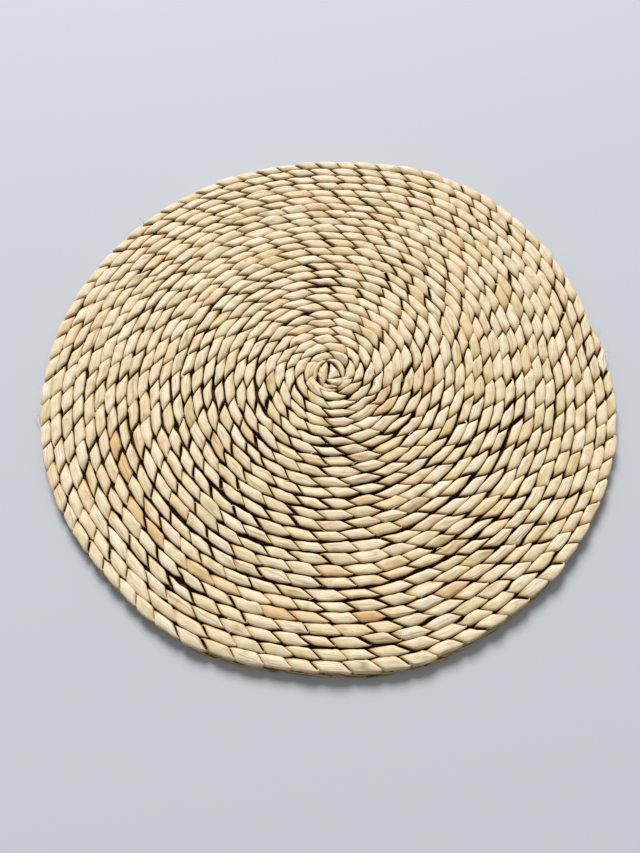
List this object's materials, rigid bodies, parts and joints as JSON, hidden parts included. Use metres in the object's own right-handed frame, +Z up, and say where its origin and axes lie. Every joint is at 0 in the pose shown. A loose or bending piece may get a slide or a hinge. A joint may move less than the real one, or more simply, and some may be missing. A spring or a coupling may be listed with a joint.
{
  "type": "round plaited leaf placemat",
  "caption": "Round table mat made of one long plait of dried leaf, set on edge and coiled into a flat disc that goes under a plate or a hot dish.",
  "frame": {"origin": "the middle of the coil, on the surface that the mat lies on", "axes": "+Z is up, through the mat; +X is the picture's right, where the tail of the plait ends; +Y is away from the picture's viewer"},
  "size_m": [0.3794, 0.3767, 0.009],
  "materials": {
    "dried_leaf": "dry, matt plant leaf, pale straw to tan"
  },
  "bodies": {
    "root": {"plaited_coil": "dried_leaf"}
  },
  "joints": []
}
